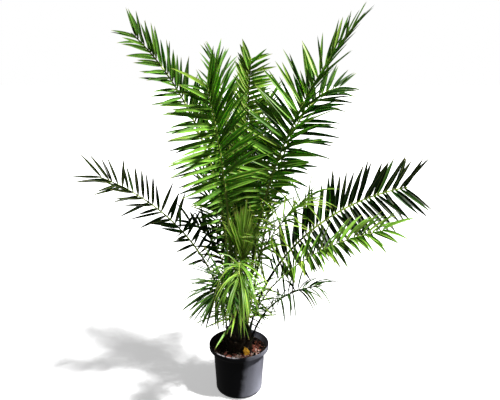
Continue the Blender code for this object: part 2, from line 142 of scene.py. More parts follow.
def piece(name, shape, finish, stands_for=(), sharp=35):
    """Puts a shape's arrays into a mesh at the origin, hangs it under the root body and hides the CAD parts
    it stands for.
    """
    points, quads, triangles, uv, marks = shape
    corners = np.concatenate([quads.ravel(), triangles.ravel()])
    sizes = np.concatenate([np.full(len(quads), 4), np.full(len(triangles), 3)])
    mesh = bpy.data.meshes.new(name)
    mesh.vertices.add(len(points))
    mesh.vertices.foreach_set("co", points.ravel())
    mesh.loops.add(len(corners))
    mesh.loops.foreach_set("vertex_index", corners)
    mesh.polygons.add(len(sizes))
    mesh.polygons.foreach_set("loop_start", np.cumsum(sizes) - sizes)
    mesh.update(calc_edges=True)
    mesh.uv_layers.new(name="surface").uv.foreach_set("vector", uv[corners].ravel())
    for column, kept in enumerate(("share", "chance")):
        attribute = mesh.attributes.new(kept, "FLOAT", "POINT")
        attribute.data.foreach_set("value", np.ascontiguousarray(marks[:, column]))
    mesh.shade_smooth()
    mesh.set_sharp_from_angle(angle=math.radians(sharp))
    mesh.materials.append(finish)
    made = bpy.data.objects.new(name, mesh)
    bpy.context.scene.collection.objects.link(made)
    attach(made, "root")
    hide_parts(*stands_for)
    return made


def linear(colour):
    """An sRGB hex colour as linear red, green, blue and alpha."""
    parts = [int(colour[k : k + 2], 16) / 255 for k in (1, 3, 5)]
    return (*(c / 12.92 if c <= 0.04045 else ((c + 0.055) / 1.055) ** 2.4 for c in parts), 1.0)


def finish_named(name):
    """A new material, and its node tree with the Principled BSDF in it."""
    made = bpy.data.materials.new(name)
    made.use_nodes = True
    return made, made.node_tree, made.node_tree.nodes["Principled BSDF"]


def feed(tree, node, inputs):
    """Gives a node's sockets their values. A value that is an output is linked to its socket."""
    for socket, value in inputs.items():
        if isinstance(value, bpy.types.NodeSocket):
            tree.links.new(value, node.inputs[socket])
        else:
            node.inputs[socket].default_value = value


def add(tree, kind, inputs=None, **settings):
    """Adds one node, with its settings and what its sockets are fed."""
    node = tree.nodes.new("ShaderNode" + kind)
    for setting, value in settings.items():
        setattr(node, setting, value)
    feed(tree, node, inputs or {})
    return node


def maths(tree, operation, *values):
    """The result of one operation on up to three values or outputs."""
    return add(tree, "Math", dict(enumerate(values)), operation=operation).outputs[0]


def all_of(tree, *shares):
    """The product of several shares: what lies within every limit at once."""
    product = shares[0]
    for share in shares[1:]:
        product = maths(tree, "MULTIPLY", product, share)
    return product


def ramp(tree, value, low, high, bottom=0.0, top=1.0, kind="LINEAR"):
    """bottom where the value is low, top where it is high, and held beyond them."""
    limits = {"Value": value, "From Min": low, "From Max": high, "To Min": bottom, "To Max": top}
    return add(tree, "MapRange", limits, interpolation_type=kind).outputs[0]


def blend(tree, factor, first, second):
    """A colour that goes from the first to the second as the factor goes from 0 to 1."""
    first, second = (linear(given) if isinstance(given, str) else given for given in (first, second))
    return add(tree, "Mix", {0: factor, 6: first, 7: second}, data_type="RGBA").outputs[2]


def noise(tree, place, size, detail=2.0, roughness=0.5):
    """Cloudy noise from 0 to 1, whose largest patches are of this size in metres."""
    given = {"Vector": place, "Scale": 1 / size, "Detail": detail, "Roughness": roughness}
    return add(tree, "TexNoise", given).outputs["Fac"]


def bumps(tree, height, strength, distance):
    """A normal that stands in for relief of this depth in metres."""
    return add(tree, "Bump", {"Height": height, "Strength": strength, "Distance": distance}).outputs[0]


def black_polyethylene_painted_light():
    """Black HDPE, blown into a mould, with a low, waxy gloss. Its right side is painted grey, with a dusty
    grain, as painted light. A broken pale line along its lip is a painted glint, and a few pale specks on
    the inside of its back are painted glints too."""
    made, tree, shader = finish_named("black_polyethylene_painted_light")
    place = add(tree, "TexCoord").outputs["Object"]
    x, y, z = add(tree, "SeparateXYZ", {0: place}).outputs
    skin = noise(tree, place, 0.0022)
    # the edge of the painted light on the right side slants, and is uneven by about 30 mm
    slant = maths(tree, "MULTIPLY_ADD", z, -0.14, x)
    edge = maths(tree, "MULTIPLY_ADD", noise(tree, place, 0.030, 6, 0.7), 0.030, slant)
    lit_side = ramp(tree, edge, 0.006, 0.040, 0.0, 0.92, "SMOOTHSTEP")
    painted_light = all_of(tree, lit_side, ramp(tree, skin, 0.3, 0.7, 0.75))
    # painted light: the black turns grey towards the right side, with a dusty grain, and roughness follows
    # it
    colour = blend(tree, painted_light, "#0a090f", "#b4b5c4")
    # painted glint along the lip, in front and on its left, broken by gaps of about 9 mm
    painted_glint = all_of(
        tree,
        ramp(tree, z, POT_HEIGHT - 0.0060, POT_HEIGHT - 0.0030),
        ramp(tree, y, -0.085, -0.105),
        ramp(tree, x, 0.010, -0.010),
        ramp(tree, noise(tree, place, 0.009, 3), 0.40, 0.50),
    )
    colour = blend(tree, painted_glint, colour, "#c9c3c8")
    # painted glints: pale specks about 4 mm across, here and there, on the inside of the back
    speck_cells = add(tree, "TexVoronoi", {"Vector": place, "Scale": 1 / 0.011})
    chance = add(tree, "SeparateColor", {0: speck_cells.outputs["Color"]}).outputs[0]
    painted_specks = all_of(
        tree,
        ramp(tree, speck_cells.outputs["Distance"], 0.22, 0.16),
        maths(tree, "GREATER_THAN", chance, 0.72),
        maths(tree, "GREATER_THAN", z, COLLAR_FOOT + 0.004),
        maths(tree, "GREATER_THAN", y, 0.020),
    )
    feed(tree, shader, {
        "Base Color": blend(tree, painted_specks, colour, "#8d8690"),
        "Roughness": ramp(tree, painted_light, 0.0, 1.0, 0.46, 0.85),
        "Normal": bumps(tree, skin, 0.25, 0.0004),
        "Specular IOR Level": 0.35,
    })
    return made


def inner_radius(height):
    """The pot's inside: its straight flank, opening out into the collar from just under the rim."""
    flank = np.interp(height, [FOOT_ROUND, COLLAR_FOOT], [FOOT_RADIUS, NECK_RADIUS]) - WALL
    opened = np.clip((height - COLLAR_FOOT + 0.008) / 0.018, 0, 1)
    return flank + (RIM_RADIUS - COLLAR_WALL - flank) * opened


lip = WALL / 2
hollow = arc((NECK_RADIUS + HOLLOW_RADIUS, COLLAR_FOOT - 0.012), HOLLOW_RADIUS, 180, 100, 8)
hollow[:, 0] = np.minimum(hollow[:, 0], RIM_RADIUS - 0.0012)
inner_heights = (COLLAR_FOOT + 0.010, COLLAR_FOOT - 0.008, 0.11, FOOT_ROUND)
pot_profile = np.concatenate([
    # the underside, the round of the foot, the flank and the hollow under the collar
    [[FLOOR_RADIUS, 0], [0.070, 0]],
    arc((FOOT_RADIUS - FOOT_ROUND, FOOT_ROUND), FOOT_ROUND, -90, 0, 12),
    np.linspace([FOOT_RADIUS, FOOT_ROUND + 0.012], [NECK_RADIUS, COLLAR_FOOT - 0.020], 10),
    hollow,
    # the collar's face, which leans by less than 1 mm, and the lip
    [[RIM_RADIUS - 0.0004, COLLAR_FOOT + 0.0140], [RIM_RADIUS, COLLAR_FOOT + 0.0155]],
    [[RIM_RADIUS - 0.0002, COLLAR_FOOT + 0.0240]],
    arc((RIM_RADIUS - lip, POT_HEIGHT - lip), lip, 0, 180, 8),
    # the inside and its floor
    [[inner_radius(height), height] for height in inner_heights],
    [[inner_radius(FOOT_ROUND) - 0.014, WALL], [FLOOR_RADIUS, WALL]],
])
near_line = np.radians([-0.9, -0.5, 0.0, 0.5, 0.9])  # columns that draw the parting line sharply
even_turns = all_round(POT_COLUMNS) + 0.013
pot_turns = np.unique(np.concatenate([even_turns, near_line % (2 * np.pi), near_line + np.pi]))
pot_turns = pot_turns[np.diff(pot_turns, append=2 * np.pi + pot_turns[0]) > 1e-4]
row_radius, row_height = pot_profile[:, :1], pot_profile[:, 1:]
off_line = np.abs(np.sin(pot_turns)) * row_radius
ridge = PARTING_LINE[1] * np.clip(1 - off_line / PARTING_LINE[0], 0, 1)
to_hole = (pot_turns * DRAIN_HOLES / (2 * np.pi) + 0.5) % 1 - 0.5
to_hole = to_hole * 2 * np.pi / DRAIN_HOLES * row_radius / DRAIN_SIZE[0]
above_hole = (row_height - DRAIN_HEIGHT) / DRAIN_SIZE[1]
hole = DRAIN_DEPTH * np.clip(2.2 * (1 - to_hole**2 - above_hole**2), 0, 1)
outside = np.arange(len(pot_profile))[:, None] < len(pot_profile) - INSIDE_ROWS
flank = outside & (row_height > 0.002) & (row_height < COLLAR_FOOT)
pot_relief = np.where(flank, ridge - hole * (row_height < DRAIN_TOP), 0)
pot_shape = turned(pot_profile, circle(pot_turns), pot_relief[None])
piece("pot_shell", pot_shape, black_polyethylene_painted_light(), ["pot"], sharp=50)

# ------------------------------------------------------------------------------------------------
# The root ball: peat potting soil that fills the pot to 25 mm under its rim, heaped a little round
# the trunk and crumbly on top where it is watered.

SOIL_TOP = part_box("root_ball")[1][2]
SOIL_EASE = 0.0012  # from the pot's wall
SOIL_COLUMNS, SOIL_ROWS = 160, 42
HEAP_RADIUS, HEAP_WIDTH, HEAP_HEIGHT, HIGHEST = 0.055, 0.018, 0.004, 0.006
dice = np.random.default_rng(11)


def rumple(points, size, dice, waves=16):
    """Smooth unevenness from -1 to 1: the sum of cosine waves of about this size in random directions."""
    ways = dice.normal(size=(waves, 3))
    ways *= 2 * np.pi / size * dice.uniform(0.6, 1.5, (waves, 1)) / np.linalg.norm(ways, axis=1)[:, None]
    return np.cos(points @ ways.T + dice.uniform(0, 2 * np.pi, waves)).sum(axis=-1) / math.sqrt(waves)


def potting_soil():
    """Peat with bark fines: dark brown, quite matt, with crumbs of about 4 mm and pale specks of grit."""
    made, tree, shader = finish_named("potting_soil")
    place = add(tree, "TexCoord").outputs["Object"]
    crumbs = add(tree, "TexVoronoi", {"Vector": place, "Scale": 1 / 0.0045, "Randomness": 1.0})
    chance = add(tree, "SeparateColor", {0: crumbs.outputs["Color"]}).outputs[0]
    wet = ramp(tree, noise(tree, place, 0.030, 5), 0.35, 0.65)
    colour = blend(tree, wet, "#120c0a", "#2a1b14")
    feed(tree, shader, {
        "Base Color": blend(tree, ramp(tree, chance, 0.93, 0.97), colour, "#8c7a68"),
        "Roughness": 0.95,
        "Normal": bumps(tree, crumbs.outputs["Distance"], 0.9, 0.0025),
        "Specular IOR Level": 0.2,
    })
    return made


soil_rim = inner_radius(SOIL_TOP) - SOIL_EASE
soil_heights = (FOOT_ROUND, 0.08, 0.14, COLLAR_FOOT - 0.008)
soil_profile = np.concatenate([
    [[FLOOR_RADIUS, WALL + 0.0006], [inner_radius(FOOT_ROUND) - 0.017, WALL + 0.0006]],
    [[inner_radius(height) - SOIL_EASE, height] for height in soil_heights],
    np.stack([np.linspace(soil_rim, 0.004, SOIL_ROWS), np.full(SOIL_ROWS, SOIL_TOP - 0.002)], axis=1),
])
soil_shape = turned(soil_profile, circle(all_round(SOIL_COLUMNS)))
soil_points = soil_shape[0]
reach = np.hypot(soil_points[:, 0], soil_points[:, 1])
on_top = (soil_points[:, 2] > SOIL_TOP - 0.003) * np.clip((soil_rim - reach) / 0.004, 0, 1)
heaped = HEAP_HEIGHT * np.exp(-(((reach - HEAP_RADIUS) / HEAP_WIDTH) ** 2))
crumbly = 0.0022 * rumple(soil_points, 0.022, dice) + 0.0013 * rumple(soil_points, 0.007, dice)
soil_points[:, 2] += on_top * np.minimum(heaped + crumbly, HIGHEST)
piece("soil", soil_shape, potting_soil(), ["root_ball"], sharp=180)

# ------------------------------------------------------------------------------------------------
# The mulch on the soil: flakes of pine bark laid where the pot's front and right are open, finer
# litter between them, a few bleached chips, and the split orange husk of a palm fruit.

FLAKE_CORNERS, FLAKE_RAGGED, FLAKE_WIDTH = 9, (0.72, 1.12), 0.55  # width against length
FLAKE_RISES, FLAKE_SPREADS = np.array([0.0, 0.15, 0.85, 1.0]), np.array([0.80, 1.0, 0.94, 0.72])
LOOSE_FLAKES, LITTER, PALE_CHIPS = 34, 260, 44  # how many of each
HUSK_AT, HUSK_SIZE, HUSK_TALL, HUSK_LEAN = (0.034, -0.073), 0.0160, 1.50, 0.25
HUSK_SPLIT = 0.0050  # depth of the three furrows where it has split
HUSK_ROWS, HUSK_COLUMNS = 12, 18
UP = np.array([0, 0, 1.0])


def level(turn):
    """Level vectors of length 1 that point these ways, in radians."""
    return np.stack([np.cos(turn), np.sin(turn), np.zeros_like(turn)], axis=-1)


def flakes(spots, lengths, thick, dice, tilt=0.25, curl=0.18):
    """Chips of bark: each is a ring of corners on a ragged oval, drawn up in three stations that shrink
    to a pole above and below, then curled across its length, tipped and turned to lie any way."""
    count = len(spots)
    ragged = dice.uniform(*FLAKE_RAGGED, (count, 1, FLAKE_CORNERS, 1))
    ring = circle(all_round(FLAKE_CORNERS)) * ragged * (1, FLAKE_WIDTH) / 2
    heading, tips = dice.uniform(0, 2 * np.pi, count), dice.normal(0, tilt, (2, count, 1))
    long = level(heading) + UP * tips[0]
    broad = level(heading + np.pi / 2) + UP * tips[1]
    over = np.cross(long, broad)
    over /= np.linalg.norm(over, axis=-1, keepdims=True)
    centres = spots[:, None] + (thick[:, None] * FLAKE_RISES)[..., None] * over[:, None]
    size = (lengths[:, None] * FLAKE_SPREADS)[..., None]
    chance = dice.uniform(0, 1, count)
    shape = swept(centres, long[:, None] * size, broad[:, None] * size, ring, chance=chance)
    points = shape[0].reshape(count, -1, 3)
    offset = np.einsum("npk,nk->np", points - spots[:, None], broad)
    points += over[:, None] * (curl * offset**2 / (lengths[:, None] * 0.5))[..., None]
    return (points.reshape(-1, 3), *shape[1:])


def joined(shapes):
    """Several shapes as one."""
    start = np.cumsum([0] + [len(shape[0]) for shape in shapes[:-1]])
    whole = [np.concatenate([shape[k] for shape in shapes]) for k in (0, 3, 4)]
    quads, triangles = (
        np.concatenate([shape[k] + first for shape, first in zip(shapes, start)]) for k in (1, 2)
    )
    return whole[0], quads, triangles, whole[1], whole[2]


def scattered(count, inner, outer, headings, dice):
    """Spots on the soil between two radii, within a range of headings in degrees."""
    turn = np.radians(dice.uniform(*headings, count))
    out = np.sqrt(dice.uniform(inner**2, outer**2, (count, 1)))
    return level(turn) * out + UP * (SOIL_TOP - 0.0005)


def stretched(tree, place, *sizes):
    """A place whose grain of size 1 is drawn out to these sizes in metres."""
    return add(tree, "Mapping", {"Vector": place, "Scale": [1 / size for size in sizes]}).outputs[0]


def mark(tree, name):
    """What a mesh keeps at each of its points under this name."""
    return add(tree, "Attribute", attribute_name=name).outputs["Fac"]


def dry_tissue(name, dark, light):
    """Bark or husk, dry and papery: each piece is streaked along its grain, about 1 mm a streak, and has
    its own shade between the two colours."""
    made, tree, shader = finish_named(name)
    uv = add(tree, "UVMap", uv_map="surface").outputs[0]
    streak = noise(tree, stretched(tree, uv, 0.0012, 0.008, 1), 1.0, 4)
    shade = maths(tree, "MULTIPLY_ADD", mark(tree, "chance"), streak, 0.10)
    feed(tree, shader, {
        "Base Color": blend(tree, shade, dark, light),
        "Roughness": 0.8,
        "Normal": bumps(tree, streak, 0.7, 0.0008),
    })
    return made


chip_nodes = [f"bark_chip_{k:02d}" for k in range(1, 13)]
chip_boxes = np.array([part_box(node) for node in chip_nodes])
chip_spots = chip_boxes.mean(axis=1)
chip_spots[:, 2] = SOIL_TOP + 0.0005
chip_lengths = np.linalg.norm(np.diff(chip_boxes, axis=1)[:, 0, :2], axis=-1) * 0.95
loose_spots = scattered(LOOSE_FLAKES, 0.066, 0.108, (-125, 45), dice)
laid = flakes(chip_spots, chip_lengths, np.full(len(chip_nodes), 0.0052), dice, tilt=0.12)
loose_lengths = dice.uniform(0.012, 0.022, LOOSE_FLAKES)
loose = flakes(loose_spots, loose_lengths, dice.uniform(0.002, 0.005, LOOSE_FLAKES), dice)
bark_flakes = joined([laid, loose])
piece("bark_flakes", bark_flakes, dry_tissue("pine_bark", "#4a1a14", "#cf7a60"), chip_nodes)

litter_spots = scattered(LITTER, 0.058, soil_rim - 0.004, (-180, 180), dice)
litter_lengths = dice.uniform(0.004, 0.010, LITTER)
litter = flakes(litter_spots, litter_lengths, dice.uniform(0.001, 0.002, LITTER), dice, tilt=0.4)
piece("bark_litter", litter, dry_tissue("bark_fines", "#1d1210", "#59382a"))

pale_spots = scattered(PALE_CHIPS, 0.082, 0.109, (-105, -20), dice)
pale_spots[:, 2] += 0.004  # they lie on the darker flakes
pale_lengths = dice.uniform(0.008, 0.016, PALE_CHIPS)
pale = flakes(pale_spots, pale_lengths, dice.uniform(0.001, 0.003, PALE_CHIPS), dice, tilt=0.6)
piece("bleached_chips", pale, dry_tissue("bleached_bark", "#d9a596", "#fff6e6"))

husk_turn = all_round(HUSK_COLUMNS)
husk_rise = np.linspace(-0.95, 0.95, HUSK_ROWS)
husk_profile = np.stack([HUSK_SIZE * np.sqrt(1 - husk_rise**2), HUSK_SIZE * HUSK_TALL * husk_rise], axis=1)
husk = turned(husk_profile, circle(husk_turn), -HUSK_SPLIT * np.abs(np.sin(husk_turn * 1.5))[None, None])
husk_points = husk[0]
husk_points += 0.0026 * rumple(husk_points, 0.016, dice)[:, None] * (1, 1, 0.4)
husk_points[:, 0] -= HUSK_LEAN * husk_points[:, 2]
husk_points += (*HUSK_AT, SOIL_TOP + HUSK_SIZE)
piece("fruit_husk", husk, dry_tissue("dry_husk", "#f09a14", "#ffdc4a"))

# ------------------------------------------------------------------------------------------------
# The trunk: a short bulb wrapped in the bases of old fronds, each a broad shield of fibrous brown
# tissue over the ones inside it. It is widest just above the soil and runs out in the crown's heart.

TRUNK_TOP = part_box("trunk")[1][2]
TRUNK_FLARE, TRUNK_BULB, TRUNK_TIP = 0.060, 0.055, 0.026
TRUNK_ROWS, TRUNK_COLUMNS = 90, 120
GOLDEN_TURN = 137.5  # degrees from each leaf to the next
SCALES, SCALE_HALF_WIDTH, SCALE_LENGTH, SCALE_THICK = 46, 0.019, 0.030, 0.0045


def trunk_radius(height):
    """The bulb: a flare at the soil, its widest third, and then a cosine taper to the tip."""
    share = (np.asarray(height) - SOIL_TOP) / (TRUNK_TOP - SOIL_TOP)
    flare = (TRUNK_FLARE - TRUNK_BULB) * np.exp(-share / 0.10)
    taper = 0.5 + 0.5 * np.cos(np.pi * np.clip((share - 0.25) / 0.75, 0, 1))
    return TRUNK_TIP + (TRUNK_BULB - TRUNK_TIP) * taper + flare


def old_leaf_base(name, dark, light):
    """Weathered palm leaf base: matt brown tissue that splits into upright fibres about 1.5 mm apart,
    paler where the sun and the knife have reached, and almost black in the cracks."""
    made, tree, shader = finish_named(name)
    place = add(tree, "TexCoord").outputs["Object"]
    fibre = noise(tree, stretched(tree, place, 0.003, 0.003, 0.030), 1.0, 5, 0.7)
    shade = maths(tree, "MULTIPLY", fibre, noise(tree, place, 0.025, 3))
    feed(tree, shader, {
        "Base Color": blend(tree, ramp(tree, shade, 0.12, 0.42), dark, light),
        "Roughness": 0.85,
        "Normal": bumps(tree, fibre, 0.8, 0.0015),
    })
    return made


trunk_heights = np.linspace(SOIL_TOP - 0.004, TRUNK_TOP - 0.001, TRUNK_ROWS)
trunk_turns = all_round(TRUNK_COLUMNS)
scale = np.arange(SCALES)
scale_turn = np.radians(scale * GOLDEN_TURN)[:, None, None]
scale_foot = (SOIL_TOP - 0.010 + (TRUNK_TOP - SOIL_TOP - 0.03) * (scale / SCALES) ** 0.9)[:, None, None]
radius_here = trunk_radius(trunk_heights)[None, :, None]
aside = ((trunk_turns[None, None] - scale_turn + np.pi) % (2 * np.pi) - np.pi) * radius_here
upward = (trunk_heights[None, :, None] - scale_foot) / SCALE_LENGTH
shield = np.clip(1 - (aside / (SCALE_HALF_WIDTH * (1.15 - 0.5 * np.clip(upward, 0, 1)))) ** 4, 0, 1)
scales = (shield * np.where((upward > 0) & (upward < 1), 0.25 + 0.75 * upward, 0)).max(axis=0) * SCALE_THICK
trunk_profile = np.stack([trunk_radius(trunk_heights) - 0.0035, trunk_heights], axis=1)
trunk_shape = turned(trunk_profile, circle(trunk_turns), scales[None])
trunk_shape[0][:] += 0.0012 * rumple(trunk_shape[0], 0.010, dice)[:, None] * (1, 1, 0)
bulb_finish = old_leaf_base("old_leaf_bases", "#100c08", "#4c3c2a")
piece("trunk_bulb", trunk_shape, bulb_finish, ["trunk"])

# ------------------------------------------------------------------------------------------------
# The boots: stumps of fronds that were cut off as the palm grew. Each is a thick, fibrous tongue that
# leans out of the bulb and ends in a slanted cut.

BOOTS, BOOT_LENGTH = 22, 0.040
BOOT_WIDTHS, BOOT_DEPTHS = (0.018, 0.0105), (0.0065, 0.0042)
BOOT_CORNERS, BOOT_FLUTES = 14, 0.0009

boot = np.arange(BOOTS)
boot_turn = np.radians(boot * GOLDEN_TURN + 20)
boot_foot = SOIL_TOP + 0.002 + 0.060 * boot / BOOTS
boot_share = np.linspace(0, 1, 9)
boot_out, boot_side = level(boot_turn)[:, None], level(boot_turn + np.pi / 2)[:, None]
boot_length = BOOT_LENGTH * dice.uniform(0.7, 1.15, (BOOTS, 1, 1))
boot_rise = boot_length * boot_share[None, :, None]
boot_reach = trunk_radius(boot_foot)[:, None, None] - 0.004 + 0.018 * (boot_rise / BOOT_LENGTH) ** 1.6
boot_centres = boot_out * boot_reach + UP * (boot_foot[:, None, None] + boot_rise)
boot_wide = np.interp(boot_share, [0, 0.25, 1], [BOOT_WIDTHS[0] * 0.85, BOOT_WIDTHS[0], BOOT_WIDTHS[1]])
boot_deep = np.interp(boot_share, [0, 1], BOOT_DEPTHS)
tongue = circle(all_round(BOOT_CORNERS))
tongue[:, 1] += 0.45 * tongue[:, 0] ** 2  # its edges hug the bulb
fluted = BOOT_FLUTES * np.cos(np.arange(BOOT_CORNERS) * 2.6)[None, None]
boot_wide, boot_deep = boot_wide[None, :, None], boot_deep[None, :, None]
boot_shape = swept(boot_centres, boot_side * boot_wide, -boot_out * boot_deep, tongue, fluted)
boot_finish = old_leaf_base("cut_leaf_bases", "#120d08", "#443725")
piece("cut_leaf_bases", boot_shape, boot_finish)

# ------------------------------------------------------------------------------------------------
# The fronds: each grows from a sheath round the bulb into one long rib, round and hard underneath,
# that bends over under its own weight. The same rule draws the ribs, the spines and the leaflets.


class Frond(NamedTuple):
    """One frond. Angles are in degrees and lengths in metres."""

    name: str
    heading: float  # which way it leaves the trunk
    rise: float  # above level, at its foot
    tip_rise: float  # above level, at its tip
    bend: float  # 1 turns evenly from one to the other, more turns late, less turns early
    length: float  # along the rib
    foot: float  # height of its foot on the trunk
    leaflet: tuple = (0.20, 0.14)  # the longest leaflets, and those at the tip
    spread: tuple = (66, 24)  # of a leaflet from the rib, where the leaflets begin and at the tip
    roll: tuple = (0, 0)  # twist of the blade about the rib, where the leaflets begin and at the tip
    lift: float = 28  # of a leaflet out of the plane of the blade, towards its upper side
    hang: float = 0.12  # how far its weight pulls a leaflet's tip down, as a share of its length
    bare: float = 0.26  # share of the rib that carries no leaflets
    pitch: float = 0.043  # between leaflets, along the rib
    skew: tuple = (0, 0)  # by how much more its first side's leaflets open, and the other side's less
    closes: float = 1.7  # above 1 the spread narrows late along the blade, below 1 early
    turn: float = 0.4  # how far its leaflets turn their faces up to the light, on their own stalks
    broad: float = 1.0  # width of its leaflets, against the usual
    loose: float = 1.0  # how untidily they stand, against the usual
    # tint 4, the blackish green, is partly painted shade
    tint: int = 2  # the green of its leaflets, from 0, youngest, to 4, in TINTS below
    # a rib's dark foot is painted shade
    dark: tuple = (0.10, 0.60)  # shares of the rib between which it goes from dark to pale
    stout: float = 1.0  # thickness of the rib, against the usual


FRONDS = (
    # the tall outer fronds, seen from the front
    Frond("centre_left", heading=227, rise=90, tip_rise=73, bend=1.5, length=1.10, foot=0.340,
          leaflet=(0.25, 0.19), spread=(80, 34), roll=(130, 130), hang=0.06, bare=0.52, pitch=0.030,
          skew=(-15, -15), turn=0.8, broad=1.1, tint=1),
    Frond("right_high", heading=356, rise=89, tip_rise=51, bend=1.2, length=1.42, foot=0.340,
          leaflet=(0.26, 0.12), spread=(88, 14), roll=(-80, -5), hang=0.05, bare=0.40, pitch=0.036,
          skew=(-12, -12), closes=0.9, turn=0.7, broad=1.1, tint=1),
    Frond("right_second", heading=20, rise=79, tip_rise=5, bend=5.0, length=1.22, foot=0.340,
          leaflet=(0.24, 0.11), spread=(78, 30), roll=(-50, -50), bare=0.48, pitch=0.032,
          turn=0.2, broad=1.1, tint=3),
    Frond("left_high", heading=168, rise=90, tip_rise=42, bend=1.7, length=1.40, foot=0.340,
          leaflet=(0.18, 0.135), spread=(66, 48), roll=(80, 45), lift=42, hang=0.05, pitch=0.034,
          skew=(-17, -17), turn=0.0, broad=1.05, tint=2),
    # the low ones at the sides
    Frond("left_low", heading=176, rise=90, tip_rise=19, bend=0.9, length=0.99, foot=0.288,
          leaflet=(0.15, 0.14), spread=(70, 40), roll=(35, 60), hang=0, bare=0.30, pitch=0.046,
          turn=0, broad=1.1, loose=1.8, tint=4),
    Frond("right_low", heading=4, rise=83, tip_rise=9, bend=0.9, length=1.04, foot=0.300,
          leaflet=(0.21, 0.18), spread=(82, 54), roll=(-50, -70), lift=20, hang=0, bare=0.30,
          pitch=0.036, skew=(30, 6), closes=1.0, turn=0, broad=1.25, tint=4, dark=(0.50, 0.62), stout=1.15),
    Frond("right_front", heading=328, rise=87, tip_rise=20, bend=0.6, length=0.90, foot=0.295,
          leaflet=(0.15, 0.13), spread=(62, 26), roll=(-30, -45), lift=20, hang=0.25, bare=0.40,
          pitch=0.036, broad=1.2, tint=1),
    # the heart of the crown
    Frond("centre", heading=75, rise=86, tip_rise=76, bend=1.0, length=1.17, foot=0.378,
          leaflet=(0.145, 0.115), spread=(62, 48), lift=12, hang=0, pitch=0.020, skew=(22, 22),
          turn=0.3, broad=1.35, tint=0),
    Frond("front_young", heading=292, rise=88, tip_rise=84, bend=1.0, length=0.37, foot=0.378,
          leaflet=(0.22, 0.22), spread=(24, 2), roll=(180, 180), lift=10, hang=0, bare=0.76, pitch=0.0075,
          turn=0.5, broad=0.80, loose=1.2, tint=0),
    Frond("front_drooping", heading=272, rise=88, tip_rise=-62, bend=2.4, length=0.62, foot=0.325,
          leaflet=(0.205, 0.19), spread=(72, 12), lift=10, hang=0.9, bare=0.70, pitch=0.0105,
          skew=(14, 14), turn=0, broad=0.42, loose=3.0, tint=1),
    Frond("right_inner", heading=334, rise=87, tip_rise=40, bend=1.0, length=0.70, foot=0.378,
          leaflet=(0.17, 0.14), roll=(-40, -40), lift=10, hang=0.3, bare=0.30, pitch=0.017,
          broad=0.6, loose=5.0, tint=0),
    Frond("left_inner", heading=146, rise=87, tip_rise=5, bend=2.0, length=0.55, foot=0.345,
          leaflet=(0.15, 0.12), roll=(20, 30), hang=0.2, broad=1.2, loose=3.5, tint=4),
    # short old ones at the foot of the crown
    Frond("left_foot", heading=249, rise=88, tip_rise=-50, bend=1.8, length=0.40, foot=0.375,
          leaflet=(0.21, 0.16), spread=(80, 25), roll=(20, 20), hang=0.25, bare=0.50, pitch=0.009,
          skew=(20, 10), broad=0.72, loose=2.6, tint=3),
    Frond("right_foot", heading=350, rise=80, tip_rise=8, bend=1.0, length=0.46, foot=0.252,
          leaflet=(0.17, 0.14), spread=(85, 30), hang=0.5, bare=0.45, pitch=0.022,
          broad=0.7, loose=3.0, tint=3, dark=(0.90, 1.00), stout=2.0),
    # the back of the crown
    Frond("back_high_left", heading=124, rise=86, tip_rise=66, bend=1.6, length=1.06, foot=0.345, tint=2),
    Frond("back_high_right", heading=62, rise=85, tip_rise=62, bend=1.6, length=1.04, foot=0.340, tint=2),
    Frond("back_tall", heading=107, rise=88, tip_rise=46, bend=1.7, length=1.24, foot=0.378, tint=2),
    Frond("back_low_left", heading=116, rise=80, tip_rise=40, bend=1.1, length=0.80, foot=0.300,
          leaflet=(0.17, 0.12), loose=1.6, tint=3),
    Frond("back_low_right", heading=64, rise=78, tip_rise=30, bend=1.1, length=0.84, foot=0.300,
          leaflet=(0.17, 0.12), loose=1.8, tint=2),
    Frond("back_low", heading=88, rise=78, tip_rise=12, bend=1.1, length=0.92, foot=0.300,
          leaflet=(0.18, 0.13), loose=1.4, tint=3),
)
FOOT_WIDTH, FOOT_DEPTH, TIP_SHARE = 0.0160, 0.0105, 0.42
SLENDER = (0.55, 0.30)  # thickness of any rib against the foot's, and what each metre of its length adds
RIB_STEPS, RIB_STATIONS, RIB_CORNERS = 120, 72, 12
RIB_POINT, RIB_EASE = 0.012, 0.0004  # length of its tip, and its foot's distance from the trunk
# the dark foot of a rib is painted shade
DARK_TO_PALE = (0.10, 0.60)  # the shares between which the finish of a rib goes from dark to pale


def unit(vectors):
    """Vectors of length 1 along the last axis."""
    return vectors / np.linalg.norm(vectors, axis=-1, keepdims=True)


def rib_size(frond, share):
    """(half width, half depth) of the rib: broad at the foot, then tapering, and thinner if short."""
    left = TIP_SHARE + (1 - TIP_SHARE) * (1 - share) ** 1.4
    left = left * (SLENDER[0] + SLENDER[1] * frond.length)
    return FOOT_WIDTH / 2 * left, FOOT_DEPTH / 2 * left


